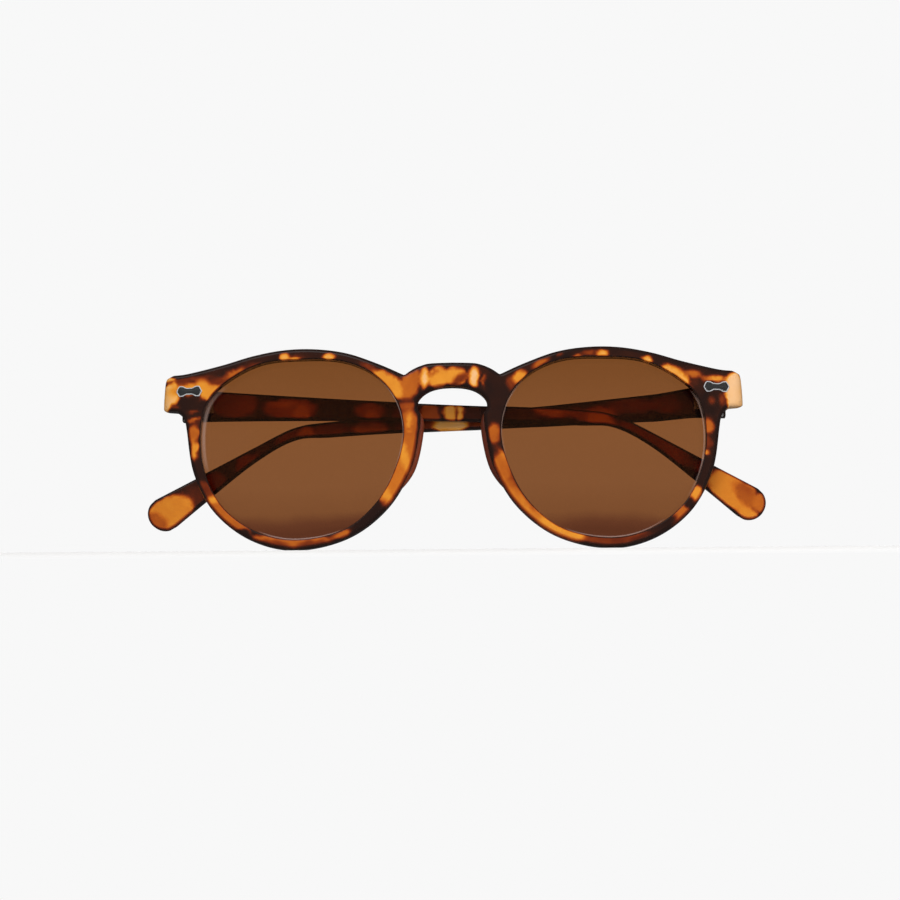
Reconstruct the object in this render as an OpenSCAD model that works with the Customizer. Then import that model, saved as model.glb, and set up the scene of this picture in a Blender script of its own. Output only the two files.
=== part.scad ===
// Folding sunglasses with a keyhole bridge, in millimetres.
// The front stands upright and faces -Y, +Z is up, and X = 0 is the middle of the bridge.
// The origin is under the middle of the folded glasses, at the height of the lowest points of the rims.
// Right and left are the wearer's: the right side is at -X.
// The temples are drawn folded: the right one lies inside, the left one lies over it.

/* [Lenses] */
// Width of a lens opening
lens_w = 50.4; // [44:0.1:52]
// Height of a lens opening
lens_h = 44.8; // [38:0.1:48]
// Distance between the two lens openings
bridge_gap = 24; // [21:0.1:28]
// How far a lens reaches into the groove of its rim
groove_depth = 0.8; // [0.5:0.05:1]
// Radius of the lens surface
lens_r = 180; // [130:5:400]
// How far the middle of a lens lies behind the face of the front
lens_recess = 0.9; // [0.6:0.05:1.2]
// Thickness of the outer sheet of a lens
outer_sheet_t = 0.6; // [0.4:0.05:0.8]
// Thickness of the polarising film
film_t = 0.12; // [0.1:0.01:0.2]
// Thickness of the inner sheet of a lens
inner_sheet_t = 0.8; // [0.4:0.05:0.9]
// Gap between a lens and the walls of its groove
lens_play = 0.05; // [0.03:0.01:0.1]

/* [Front] */
// How far the front reaches past each lens opening, towards the temple
end_reach = 9.7; // [9.2:0.1:12]
// Thickness of the front
front_t = 4.2; // [3.8:0.1:5]
// Radius of the curved face, seen from above
face_r = 450; // [350:10:700]
// Width of the rim under a lens
rim_bottom = 2.4; // [2:0.1:3.5]
// Width of the rim at the temple side of a lens
rim_side = 3.3; // [2.8:0.1:4.2]
// Width of the rim at the nose side of a lens
rim_nose = 4.1; // [3:0.1:4.6]
// Height of the brow over a lens
brow_h = 2.8; // [2.6:0.1:5]
// Height of the bridge in its middle
bridge_h = 6; // [5:0.1:7]
// How far the top of the bridge lies under the top of the brow
bridge_drop = 4.1; // [2.5:0.1:5]
// Width of the flat top of the bridge
bridge_flat = 14; // [11:0.2:16]
// Greatest width of the keyhole
keyhole_w = 17.2; // [16:0.2:19]
// Height of an end piece
end_h = 8.9; // [8:0.1:9.5]
// How far the top of an end piece lies under the top of the brow
end_drop = 5.8; // [4.5:0.1:7]
// Roundness of the corners of an end piece, seen from the front
end_round = 1.4; // [1:0.1:1.8]
// Radius of the upright corner where an end piece turns back
end_corner_r = 3.6; // [2.5:0.1:4]
// Depth of an end piece, from the face at the hinge to the back
end_t = 5.5; // [5.2:0.1:6.5]
// How far the thick part of an end piece reaches down the side of its rim
end_haunch = 1.2; // [0.6:0.1:2]
// Length of the thick part of an end piece
end_block = 10.2; // [10.1:0.1:11]

/* [Nose pads] */
// Height of a nose pad
pad_h = 20.5; // [18:0.5:21.5]
// How far a nose pad reaches above the place where the rims are closest
pad_rise = 4.5; // [3.5:0.1:5]
// How far a nose pad stands out from the rim, towards the nose
pad_proud = 1.4; // [0.8:0.1:1.6]
// How far a nose pad lies behind the face of the front
pad_recess = 1.6; // [1.2:0.1:2.4]
// How far a nose pad stands out behind the front
pad_back = 3.2; // [2:0.1:4.5]
// How far a nose pad reaches over the back of the rim
pad_seat = 1.7; // [1.4:0.1:2]
// Angle by which a pad turns away from the nose towards the back
pad_splay = 12; // [6:1:18]

/* [Hinges] */
// Distance of a hinge axis from the outer end of the front
hinge_inset = 5.2; // [5:0.1:5.5]
// Distance of a hinge axis from the back of the end piece and from the inner face of the temple
hinge_offset = 1.5; // [1.45:0.05:2]
// Outer radius of a knuckle
knuckle_r = 1.25; // [1.1:0.05:1.3]
// Height of one knuckle
knuckle_h = 1.3; // [1.2:0.05:1.4]
// Gap between two knuckles
knuckle_gap = 0.1; // [0.05:0.01:0.15]
// Radius of the screw in the knuckles
screw_r = 0.6; // [0.5:0.05:0.65]
// Running clearance around the screw, on the radius
screw_play = 0.04; // [0.02:0.01:0.08]
// Radius of the screw head
screw_head_r = 1.05; // [0.9:0.05:1.1]
// Height of the screw head
screw_head_h = 0.6; // [0.4:0.05:0.8]
// How far the tip of the screw shows below the lowest knuckle
screw_tip = 1.4; // [0.4:0.1:1.6]
// Thickness of a hinge plate
plate_t = 1.2; // [1.1:0.05:1.3]
// Height of the plate let into the end piece
front_plate_h = 6.4; // [6.2:0.1:6.6]
// Length of the plate let into the end piece
front_plate_l = 6.2; // [6:0.1:6.6]
// Height of the plate let into the temple
temple_plate_h = 4.9; // [4.7:0.1:5.1]
// Length of the plate let into the temple
temple_plate_l = 8; // [7.6:0.1:9]
// Gap around a hinge plate in its pocket
plate_play = 0.03; // [0.02:0.01:0.06]

/* [Plaques and rivets] */
// Width of the plaque on an end piece
plaque_w = 6.6; // [6:0.1:6.8]
// Height of a plaque at its ends
plaque_h = 2.7; // [2.2:0.1:3.2]
// Height of a plaque at its waist
plaque_waist = 1.7; // [1.4:0.1:2]
// How far a plaque stands out from the face
plaque_proud = 0.3; // [0.15:0.05:0.4]
// Depth of the seat that a plaque lies in
plaque_seat = 0.35; // [0.25:0.05:0.5]
// Distance of the middle of a plaque from the outer end of the front
plaque_inset = 6.8; // [6.6:0.1:7.4]
// Radius of the rivets behind a plaque and in a temple
rivet_r = 0.5; // [0.4:0.05:0.55]
// Distance between the two rivets of a plaque
rivet_pitch = 3.2; // [2.8:0.1:3.6]
// Distance between the two rivets of a temple
temple_rivet_pitch = 4; // [3.4:0.1:5]
// Gap around a rivet in the plastic
rivet_play = 0.03; // [0.02:0.01:0.05]

/* [Temples] */
// Length of a temple from the hinge axis to its tip
temple_l = 144.2; // [138:0.2:150]
// Thickness of a temple at the hinge
temple_t = 3.8; // [3.4:0.1:4]
// Thickness of a temple at its tip
temple_tip_t = 3; // [2.8:0.1:3.4]
// Height of a temple at the hinge
temple_h = 8.4; // [8:0.1:9]
// Height of a temple behind the hinge
temple_bar_h = 6.6; // [6:0.1:7.2]
// Height of a temple where it bends down
temple_mid_h = 3.8; // [3.4:0.1:4.4]
// Radius of the round tip
tip_r = 4.2; // [3.6:0.1:4.6]
// How far a temple slopes down from the hinge to the bend
temple_fall = 4.6; // [3.5:0.1:5]
// How far the middle of the tip lies below the middle of the temple at the hinge
ear_drop = 26.4; // [20:0.2:28]
// Distance from the hinge axis to the bend over the ear
bend_at = 106; // [102:0.5:108]
// How much lower the left temple hangs in its middle than the right one, as bent to fit a wearer
left_sag = 1.6; // [1:0.1:2.4]
// Gap between the end of a temple and the end piece when it is open
temple_gap = 0.15; // [0.1:0.05:0.3]

/* [Folded pose] */
// Angle of the folded right temple, towards the lenses
right_fold = 2; // [1.8:0.1:2.1]
// Angle of the folded left temple, away from the lenses
left_fold = 1.4; // [1.3:0.1:1.6]

/* [Hidden] */
$fn = 64;

// Sides: the wearer's right is at -X
right = -1;
left = 1;

// Lens places
lens_a = lens_w / 2;
lens_b = lens_h / 2;
lens_x = bridge_gap / 2 + lens_a;
lens_z = rim_bottom + lens_b;
lens_t = outer_sheet_t + film_t + inner_sheet_t;
half_w = bridge_gap / 2 + lens_w + end_reach;
front_w = 2 * half_w;

// Heights of the front
brow_z = rim_bottom + lens_h + brow_h;
bridge_z = brow_z - bridge_drop;
keyhole_z = bridge_z - bridge_h;
end_z = brow_z - end_drop;
end_mid_z = end_z - end_h / 2;
end_foot = end_z - end_h;

// Hinge places
hinge_x = half_w - hinge_inset;
function face_y(x) = face_r - sqrt(face_r * face_r - x * x);
end_back = face_y(hinge_x) + end_t;
hinge_y = end_back + hinge_offset;
temple_outer = hinge_offset + temple_t;
knuckles = 5;
stack_h = knuckles * knuckle_h + (knuckles - 1) * knuckle_gap;
hinge_z = end_mid_z - 1.2;
bore_r = screw_r + screw_play;

// How far a cut runs past what it cuts
over = 1;
// How far a knuckle runs into its plate
weld = 0.02;

// Points of a smooth open curve through the points P, n steps a span
function blend(a, b, c, d, t) =
    0.5 * (2 * b + (c - a) * t + (2 * a - 5 * b + 4 * c - d) * t * t + (3 * b - a - 3 * c + d) * t * t * t);
function curve(P, n = 4) = let (m = len(P)) concat(
    [for (i = [0 : m - 2], k = [0 : n - 1])
        blend(P[max(i - 1, 0)], P[i], P[i + 1], P[min(i + 2, m - 1)], k / n)],
    [P[m - 1]]);
// Points of a smooth closed curve through the points P
function loop_curve(P, n = 4) = let (m = len(P))
    [for (i = [0 : m - 1], k = [0 : n - 1])
        blend(P[(i + m - 1) % m], P[i], P[(i + 1) % m], P[(i + 2) % m], k / n)];

// Outline of a lens opening on the left side, as shares of its half width and half height,
// from the temple side over the top
lens_shape = [
    [1, 0.21], [0.93, 0.56], [0.72, 0.79], [0.39, 0.965], [0, 1], [-0.4, 0.97], [-0.72, 0.81], [-0.925, 0.54],
    [-1, 0.19], [-0.935, -0.18], [-0.75, -0.58], [-0.42, -0.895], [0.05, -1], [0.45, -0.895], [0.78, -0.61],
    [0.957, -0.215]
];
function lens_point(i, grow = 0) = let (
    p = [lens_shape[i][0] * lens_a, lens_shape[i][1] * lens_b])
    [lens_x, lens_z] + p * (1 + grow / norm(p));
function lens_outline(grow = 0) = loop_curve([for (i = [0 : len(lens_shape) - 1]) lens_point(i, grow)]);

// Brow of the left side from the notch beside the bridge to the end piece: shares of the lens size
// to the side of the lens middle and down from the top
brow_shape = [
    [-1.01, 0.318], [-0.763, 0.191], [-0.454, 0.065], [-0.143, 0.01], [0.167, 0.011], [0.477, 0.067],
    [0.788, 0.161]
];
notch = [lens_x + brow_shape[0][0] * lens_a, brow_z - brow_shape[0][1] * lens_b];
bridge_top = curve([
    [0, bridge_z],
    [0.37 * bridge_flat, bridge_z - 0.025 * bridge_h],
    [0.53 * bridge_flat, bridge_z - 0.105 * bridge_h],
    [(bridge_flat / 2 + 1.4 * notch[0]) / 2.4, (bridge_z + 1.2 * notch[1]) / 2.2],
    notch
], 3);
brow = curve(concat(
    [for (p = brow_shape) [lens_x + p[0] * lens_a, brow_z - p[1] * lens_b]],
    [[half_w - 0.67 * end_reach, end_z + 0.25 * end_round], [half_w - 0.28 * end_reach, end_z]]), 4);
end_outline = concat(
    curve([
        [half_w - 0.65 * end_round, end_z - 0.55 * end_round],
        [half_w - 0.3 * end_round, end_z - 1.6 * end_round],
        [half_w, end_foot + end_round]
    ], 2),
    [[half_w - 0.2 * end_round, end_foot + 0.3 * end_round]],
    [[half_w - end_round, end_foot]]);
// Rim from under the end piece round the bottom to the nose
rim_side_x = lens_x + lens_a + rim_side;
rim_under = curve([
    [half_w - 0.38 * end_reach, end_foot - 0.02 * end_h],
    [(half_w + rim_side_x) / 2 - 0.2 * end_reach, end_foot - 0.18 * end_h],
    [rim_side_x + 0.05 * end_reach, end_foot - 0.4 * end_h],
    lens_point(0, rim_side + 0.3),
    lens_point(15, (2 * rim_side + rim_bottom) / 3 - 0.2),
    lens_point(14, rim_bottom + 0.1),
    lens_point(13, rim_bottom),
    [lens_x + 0.05 * lens_a, 0],
    lens_point(11, rim_bottom - 0.2),
    lens_point(10, (rim_nose + 2 * rim_bottom) / 3),
    lens_point(9, rim_nose - 0.4),
    lens_point(8, rim_nose)
], 4);
// Keyhole from the nose side of the rim to its top, as shares of its half width
keyhole_shape = [[0.9, 0.82], [0.985, 0.645], [0.98, 0.42], [0.84, 0.237], [0.613, 0.097], [0.323, 0.022], [0, 0]];
keyhole = curve(concat([lens_point(8, rim_nose)],
    [for (p = keyhole_shape) [p[0] * keyhole_w / 2, keyhole_z - p[1] * keyhole_w / 2]]), 3);
half_outline = concat(bridge_top, [for (i = [1 : len(brow) - 1]) brow[i]], end_outline, rim_under,
    [for (i = [1 : len(keyhole) - 1]) keyhole[i]]);
// The whole outline: the left half, then the right half backwards, without the shared middle points
front_outline = concat(half_outline,
    [for (i = [len(half_outline) - 2 : -1 : 1]) [-half_outline[i][0], half_outline[i][1]]]);

// Moves a piece so that the origin lies under the middle of the folded glasses
depth = hinge_y + temple_outer * cos(left_fold) + temple_l * sin(left_fold);
module placed() translate([0, -depth / 2, 0]) children();

// Extrudes an outline of [x, z] points along Y, from y0 to y1
module prism(outline, y0, y1)
    translate([0, y1, 0]) rotate([90, 0, 0]) linear_extrude(y1 - y0) polygon(outline);

// Where an end piece turns back: the middle of its upright corner
corner_x = half_w - end_corner_r;
corner_y = face_r - sqrt(pow(face_r - end_corner_r, 2) - corner_x * corner_x);
corner_start = corner_x * face_r / (face_r - end_corner_r);

// The plan of the front: a curved band over the width thin_w, and beyond it the thick end pieces
module front_plan(thin_w)
    difference() {
        intersection() {
            translate([0, face_r]) circle(r = face_r, $fn = 720);
            translate([-half_w - over, -over]) square([front_w + 2 * over, end_back + over]);
        }
        intersection() {
            translate([0, face_r]) circle(r = face_r - front_t, $fn = 720);
            translate([-thin_w / 2, 0]) square([thin_w, end_back + over]);
        }
        for (side = [right, left])
            difference() {
                translate([side * (corner_start + half_w + over) / 2, corner_y / 2])
                    square([half_w + over - corner_start, corner_y], center = true);
                translate([side * corner_x, corner_y]) circle(r = end_corner_r);
            }
    }

// The front without its openings and pockets
module front_blank()
    intersection() {
        prism(front_outline, -over, end_back + over);
        union() {
            translate([0, 0, -over]) linear_extrude(brow_z + 2 * over) front_plan(front_w + 2 * over);
            translate([0, 0, end_foot - end_haunch])
                linear_extrude(end_h + end_haunch + end_drop + over) front_plan(front_w - 2 * end_block);
        }
    }

// A slice of a lens between two depths behind its outer surface, with the outline grown by grow
module lens_slice(side, depth0, depth1, grow) {
    turn = asin(lens_x / face_r);
    pole = [lens_x, face_y(lens_x) + lens_recess, lens_z];
    centre = pole + lens_r * [-sin(turn), cos(turn), 0];
    mirror([side < 0 ? 1 : 0, 0, 0])
        intersection() {
            prism(lens_outline(grow), -over, end_back + 2 * over);
            difference() {
                translate(centre) sphere(r = lens_r - depth0, $fn = 200);
                translate(centre) sphere(r = lens_r - depth1, $fn = 200);
            }
        }
}

// Where the two rivets of a plaque stand
plaque_x = half_w - plaque_inset;
plaque_z = end_mid_z + 0.2;
plate_z = hinge_z + 0.6;
plate_x = hinge_x + knuckle_r - front_plate_l / 2 + 0.6;

// Outline of a plaque: pointed ends and a narrow waist
function plaque_outline(side, grow = 0) = let (w = plaque_w / 2 + grow, h = plaque_h / 2 + grow,
    n = plaque_waist / 2 + grow) [for (p = [
        [w, 0], [w * 0.78, h], [w * 0.5, h], [w * 0.22, n], [-w * 0.22, n], [-w * 0.5, h], [-w * 0.78, h],
        [-w, 0], [-w * 0.78, -h], [-w * 0.5, -h], [-w * 0.22, -n], [w * 0.22, -n], [w * 0.5, -h], [w * 0.78, -h]
    ]) [side * plaque_x + p[0], plaque_z + p[1]]];

// The layer of a plaque between two distances in front of the face
module face_layer(side, out, deep, grow)
    intersection() {
        prism(plaque_outline(side, grow), -2 * over, end_back);
        translate([0, face_r, plaque_z - plaque_h])
            difference() {
                cylinder(r = face_r + out, h = 2 * plaque_h, $fn = 720);
                translate([0, 0, -over]) cylinder(r = face_r - deep, h = 2 * plaque_h + 2 * over, $fn = 720);
            }
    }

module plaque_rivets(side, r, y0, y1)
    for (k = [-1, 1])
        translate([side * plaque_x + k * rivet_pitch / 2, y1, plaque_z])
            rotate([90, 0, 0]) cylinder(r = r, h = y1 - y0);

module front_frame()
    color([0.55, 0.27, 0.09]) placed()
        difference() {
            front_blank();
            for (side = [right, left]) {
                mirror([side < 0 ? 1 : 0, 0, 0]) prism(lens_outline(), -2 * over, end_back + 2 * over);
                lens_slice(side, -lens_play, lens_t + lens_play, groove_depth);
                face_layer(side, over, plaque_seat + plate_play, plate_play);
                plaque_rivets(side, rivet_r + rivet_play, 0, end_back + over);
                translate([side * plate_x, end_back, plate_z])
                    cube([front_plate_l + 2 * plate_play, 2 * (plate_t + plate_play),
                        front_plate_h + 2 * plate_play], center = true);
            }
        }

module lens_outer_sheet(side)
    color([0.36, 0.2, 0.1]) placed()
        lens_slice(side, 0, outer_sheet_t, groove_depth - lens_play);

module polarising_film(side)
    color([0.16, 0.12, 0.1]) placed()
        lens_slice(side, outer_sheet_t, outer_sheet_t + film_t, groove_depth - lens_play);

module lens_inner_sheet(side)
    color([0.42, 0.25, 0.14]) placed()
        lens_slice(side, outer_sheet_t + film_t, lens_t, groove_depth - lens_play);

// Outline of a left nose pad, seen from the front
rim_low = lens_point(10, (rim_nose + 2 * rim_bottom) / 3);
rim_mid = lens_point(9, rim_nose - 0.4);
rim_high = lens_point(8, rim_nose);
pad_top = rim_high[1] + pad_rise;
pad_foot = rim_low + (rim_mid - rim_low) * (pad_top - pad_h - rim_low[1]) / (rim_mid[1] - rim_low[1]);
pad_outline = concat(
    curve([
        pad_foot,
        rim_mid - 0.6 * [pad_proud, 0.3 * pad_proud],
        rim_high - [pad_proud, 0],
        [rim_high[0] - pad_proud, pad_top - pad_rise / 2],
        [rim_high[0] + 0.4 * pad_seat, pad_top]
    ], 4),
    [[rim_high[0] + 1.3 * pad_seat, pad_top - pad_rise / 6]],
    [rim_mid + [pad_seat, 0]],
    [pad_foot + [pad_seat, pad_seat / 2]]);

module nose_pad(side)
    color([0.75, 0.42, 0.13]) placed()
        mirror([side < 0 ? 1 : 0, 0, 0])
            difference() {
                translate([rim_high[0], pad_recess, 0])
                    rotate([0, 0, -pad_splay])
                        translate([-rim_high[0], 0, 0])
                            prism(pad_outline, 0, front_t - pad_recess + pad_back);
                front_blank();
                prism(front_outline, -over, front_t);
            }

module front_plaque(side)
    color([0.3, 0.3, 0.31]) placed()
        union() {
            face_layer(side, plaque_proud, plaque_seat, 0);
            intersection() {
                plaque_rivets(side, rivet_r, 0, end_back - plate_t * 0.4);
                translate([0, face_r, 0]) cylinder(r = face_r - plaque_seat / 2, h = brow_z, $fn = 720);
            }
        }

// The knuckles of a leaf: 0 for those on the front, 1 for those on the temple
module knuckle_row(which)
    for (k = [which : 2 : knuckles - 1])
        translate([0, 0, hinge_z - stack_h / 2 + k * (knuckle_h + knuckle_gap)]) children();

module bore_cut()
    translate([0, 0, hinge_z - stack_h / 2 - over]) cylinder(r = bore_r, h = stack_h + 2 * over);

module front_hinge_leaf(side)
    color([0.72, 0.72, 0.72]) placed()
        difference() {
            union() {
                translate([side * plate_x, end_back - plate_t / 2, plate_z])
                    cube([front_plate_l, plate_t, front_plate_h], center = true);
                translate([side * hinge_x, hinge_y, 0])
                    knuckle_row(0) {
                        cylinder(r = knuckle_r, h = knuckle_h);
                        translate([-knuckle_r, -hinge_offset - weld, 0])
                            cube([2 * knuckle_r, hinge_offset + weld, knuckle_h]);
                    }
            }
            translate([side * hinge_x, hinge_y, 0]) bore_cut();
            plaque_rivets(side, rivet_r + rivet_play, 0, end_back - plate_t * 0.4 + rivet_play);
        }

module hinge_screw(side)
    color([0.8, 0.8, 0.8]) placed()
        translate([side * hinge_x, hinge_y, hinge_z - stack_h / 2])
            difference() {
                union() {
                    translate([0, 0, -screw_tip]) cylinder(r = screw_r, h = stack_h + screw_tip + 0.2);
                    translate([0, 0, stack_h + 0.05]) cylinder(r = screw_head_r, h = screw_head_h);
                }
                translate([0, 0, stack_h + screw_head_h])
                    cube([0.3, 2 * screw_head_r + over, screw_head_h], center = true);
            }

// The temple drawn from its hinge axis along +X, its inner face towards -Y, and its outer face
// at right angles to the fold
mid_z = hinge_z - 0.5;
tip_mid = [temple_l - tip_r, mid_z - ear_drop];
bend_z = mid_z - temple_fall;
ear_angle = atan2(bend_z - tip_mid[1], tip_mid[0] - bend_at);

function tip_point(a) = tip_mid + tip_r * [cos(a), sin(a)];
// A point on the ear: a share of the way from the tip to the bend, and a distance below that line
function ear_point(share, below) = tip_mid + share * ([bend_at, bend_z] - tip_mid)
    - below * [sin(ear_angle), cos(ear_angle)];
// The middle of the bar at a share of the way to the bend, raised by rise
function bar_point(share, rise) = [share * bend_at, mid_z - share * temple_fall + rise];
ear_slope = tan(ear_angle);
bend_top = bend_z + temple_mid_h / 2;
bend_under = bend_z - temple_mid_h / 2;
bar_mid_h = (temple_bar_h + temple_mid_h) / 2;

temple_points = concat(
    curve([
        [temple_gap - hinge_offset, mid_z + temple_h / 2],
        [6.5, mid_z + temple_bar_h / 2],
        bar_point(0.25, 0.44 * temple_bar_h),
        bar_point(0.45, 0.45 * bar_mid_h),
        bar_point(0.65, 0.53 * temple_mid_h),
        bar_point(0.83, 0.5 * temple_mid_h),
        [bend_at - 6, bend_top - 0.1],
        [bend_at, bend_top - 1.6 * ear_slope],
        [bend_at + 6, bend_top - 5.5 * ear_slope],
        ([bend_at + 6, bend_top - 5.5 * ear_slope] + tip_point(ear_angle + 24)) / 2,
        tip_point(ear_angle + 24)
    ], 4),
    [for (a = [ear_angle : -15 : -180 + ear_angle + 40]) tip_point(a)],
    curve([
        tip_point(-180 + ear_angle + 12),
        ear_point(0.3, 2.5),
        ear_point(0.68, 0.7),
        [bend_at + 1, bend_under - 0.76 * ear_slope],
        [bend_at - 8, bend_under + 0.3 * ear_slope],
        [0.755 * bend_at, bend_under + 1.1],
        bar_point(0.47, -0.46 * bar_mid_h),
        bar_point(0.25, -0.46 * temple_bar_h),
        [8, mid_z - temple_h / 2 + 0.1],
        [temple_gap - hinge_offset, mid_z - temple_h / 2]
    ], 4));

// How far a temple hangs down at a distance from its hinge, as shares of its sag and its length
function sag_at(u) = lookup(u / temple_l, [[0.05, 0], [0.11, 0.5], [0.3, 0.9], [0.42, 1], [0.8, 1], [1, 0.3]]);
function temple_outline(sag) = [for (p = temple_points) [p[0], p[1] - sag * sag_at(p[0])]];

module temple_shape(side)
    intersection() {
        prism(temple_outline(side == left ? left_sag : 0), 0, temple_outer + over);
        translate([0, 0, -over])
            linear_extrude(brow_z + 2 * over)
                polygon([
                    [-hinge_offset - over, hinge_offset],
                    [temple_plate_l + 4, hinge_offset],
                    [temple_l + over, temple_outer - temple_tip_t],
                    [temple_l + over, temple_outer],
                    [-hinge_offset - over, temple_outer]
                ]);
    }

// Puts what was drawn for one temple at its hinge, folded
module at_temple(side)
    translate([side * hinge_x, hinge_y, 0])
        rotate([0, 0, side == right ? -right_fold : -left_fold])
            mirror([side == left ? 1 : 0, 0, 0]) children();

leaf_x = temple_plate_l / 2 - knuckle_r;
leaf_z = mid_z + 0.1;
rivet_depth = 1;

module temple_rivet_pair(r, y0, y1)
    for (k = [-1, 1])
        translate([leaf_x + 1 + k * temple_rivet_pitch / 2, y1, leaf_z])
            rotate([90, 0, 0]) cylinder(r = r, h = y1 - y0);

module temple(side)
    color([0.5, 0.24, 0.08]) placed()
        at_temple(side)
            difference() {
                temple_shape(side);
                translate([leaf_x, hinge_offset, leaf_z])
                    cube([temple_plate_l + 2 * plate_play, 2 * (plate_t + plate_play),
                        temple_plate_h + 2 * plate_play], center = true);
                temple_rivet_pair(rivet_r + rivet_play, 0, hinge_offset + plate_t + rivet_depth + rivet_play);
            }

module temple_hinge_leaf(side)
    color([0.72, 0.72, 0.72]) placed()
        at_temple(side)
            difference() {
                union() {
                    translate([leaf_x, hinge_offset + plate_t / 2, leaf_z])
                        cube([temple_plate_l, plate_t, temple_plate_h], center = true);
                    knuckle_row(1) {
                        cylinder(r = knuckle_r, h = knuckle_h);
                        translate([-knuckle_r, 0, 0]) cube([2 * knuckle_r, hinge_offset + weld, knuckle_h]);
                    }
                }
                bore_cut();
                temple_rivet_pair(rivet_r + rivet_play, 0, hinge_offset + plate_t + over);
            }

module temple_rivets(side)
    color([0.66, 0.66, 0.66]) placed()
        at_temple(side)
            temple_rivet_pair(rivet_r, hinge_offset, hinge_offset + plate_t + rivet_depth);

front_frame();
lens_outer_sheet(right);  // lens_outer_sheet_right
lens_outer_sheet(left);  // lens_outer_sheet_left
polarising_film(right);  // polarising_film_right
polarising_film(left);  // polarising_film_left
lens_inner_sheet(right);  // lens_inner_sheet_right
lens_inner_sheet(left);  // lens_inner_sheet_left
nose_pad(right);  // nose_pad_right
nose_pad(left);  // nose_pad_left
front_plaque(right);  // front_plaque_right
front_plaque(left);  // front_plaque_left
front_hinge_leaf(right);  // front_hinge_leaf_right
front_hinge_leaf(left);  // front_hinge_leaf_left
hinge_screw(right);  // hinge_screw_right
hinge_screw(left);  // hinge_screw_left
temple(right);  // temple_right
temple(left);  // temple_left
temple_hinge_leaf(right);  // temple_hinge_leaf_right
temple_hinge_leaf(left);  // temple_hinge_leaf_left
temple_rivets(right);  // temple_rivets_right
temple_rivets(left);  // temple_rivets_left
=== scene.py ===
import math

import bmesh
import bpy
import numpy as np
from mathutils import Matrix, Vector, noise
from mathutils.geometry import delaunay_2d_cdt

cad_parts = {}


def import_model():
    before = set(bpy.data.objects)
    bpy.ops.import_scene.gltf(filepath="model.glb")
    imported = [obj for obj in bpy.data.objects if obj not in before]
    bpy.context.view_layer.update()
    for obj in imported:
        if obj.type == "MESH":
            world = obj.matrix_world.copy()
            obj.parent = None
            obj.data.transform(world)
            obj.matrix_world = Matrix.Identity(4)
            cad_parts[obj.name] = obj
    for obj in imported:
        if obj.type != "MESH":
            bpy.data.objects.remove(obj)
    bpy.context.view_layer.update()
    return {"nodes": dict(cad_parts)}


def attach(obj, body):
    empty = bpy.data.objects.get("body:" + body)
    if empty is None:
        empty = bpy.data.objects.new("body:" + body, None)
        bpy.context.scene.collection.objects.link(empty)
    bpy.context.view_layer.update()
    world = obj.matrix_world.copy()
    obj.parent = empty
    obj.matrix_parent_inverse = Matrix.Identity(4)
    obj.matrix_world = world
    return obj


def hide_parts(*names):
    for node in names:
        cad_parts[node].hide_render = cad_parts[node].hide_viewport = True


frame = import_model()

# Sizes in millimetres, as in the part's own model. x runs to the wearer's left, y to the back and z up.
# Pieces are drawn with y = 0 at the middle of the face, and placed in the frame afterwards.
MM = 0.001
LENS_W, LENS_H = 50.4, 44.8
BRIDGE_GAP = 24
END_REACH = 9.7
GROOVE = 0.8
LENS_R = 180
LENS_RECESS = 0.9
LENS_T = 1.52
FRONT_T = 4.2
FACE_R = 450
RIM_BOTTOM, RIM_SIDE, RIM_NOSE = 2.4, 3.3, 4.1
BROW_H = 2.8
BRIDGE_H, BRIDGE_DROP, BRIDGE_FLAT = 6, 4.1, 14
KEYHOLE_W = 17.2
END_H, END_DROP, END_ROUND, END_CORNER_R, END_T = 8.9, 5.8, 1.4, 3.6, 5.5
END_BLOCK, END_HAUNCH = 10.2, 1.2
PAD_H, PAD_RISE, PAD_PROUD, PAD_RECESS, PAD_BACK, PAD_SEAT, PAD_SPLAY = 20.5, 4.5, 1.4, 1.6, 3.2, 1.7, 12
HINGE_INSET, HINGE_OFFSET = 5.2, 1.5
PLAQUE_W, PLAQUE_H, PLAQUE_WAIST, PLAQUE_PROUD, PLAQUE_INSET = 6.6, 2.7, 1.7, 0.3, 6.8
PLAQUE_RISE = 0.2
TEMPLE_L, TEMPLE_T, TEMPLE_TIP_T = 144.2, 3.8, 3
TEMPLE_H, TEMPLE_BAR_H, TEMPLE_MID_H = 8.4, 6.6, 3.8
TIP_R, TEMPLE_FALL, EAR_DROP, BEND_AT = 4.2, 4.6, 26.4, 106
TEMPLE_DROP = 1.7
TEMPLE_PLATE_L, TEMPLE_GAP, LEFT_SAG = 8, 0.15, 1.6
RIGHT_FOLD, LEFT_FOLD = 2, 1.4

# How far the plastic stays off the lenses, and under the hinge leaves that lie flush in it
SKIN = 0.05

# The wearer's sides
RIGHT, LEFT = -1, 1
SIDE_NAMES = {RIGHT: "right", LEFT: "left"}

# Places worked out from the sizes
LENS_A, LENS_B = LENS_W / 2, LENS_H / 2
LENS_X, LENS_Z = BRIDGE_GAP / 2 + LENS_A, RIM_BOTTOM + LENS_B
HALF_W = BRIDGE_GAP / 2 + LENS_W + END_REACH
BROW_Z = RIM_BOTTOM + LENS_H + BROW_H
BRIDGE_Z = BROW_Z - BRIDGE_DROP
KEYHOLE_Z = BRIDGE_Z - BRIDGE_H
END_Z = BROW_Z - END_DROP
END_FOOT = END_Z - END_H
END_MID_Z = END_Z - END_H / 2
HINGE_X = HALF_W - HINGE_INSET
MID_Z = END_MID_Z - TEMPLE_DROP


def face_y(x):
    """Depth of the curved face at x."""
    return FACE_R - np.sqrt(FACE_R ** 2 - np.square(x))


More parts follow.
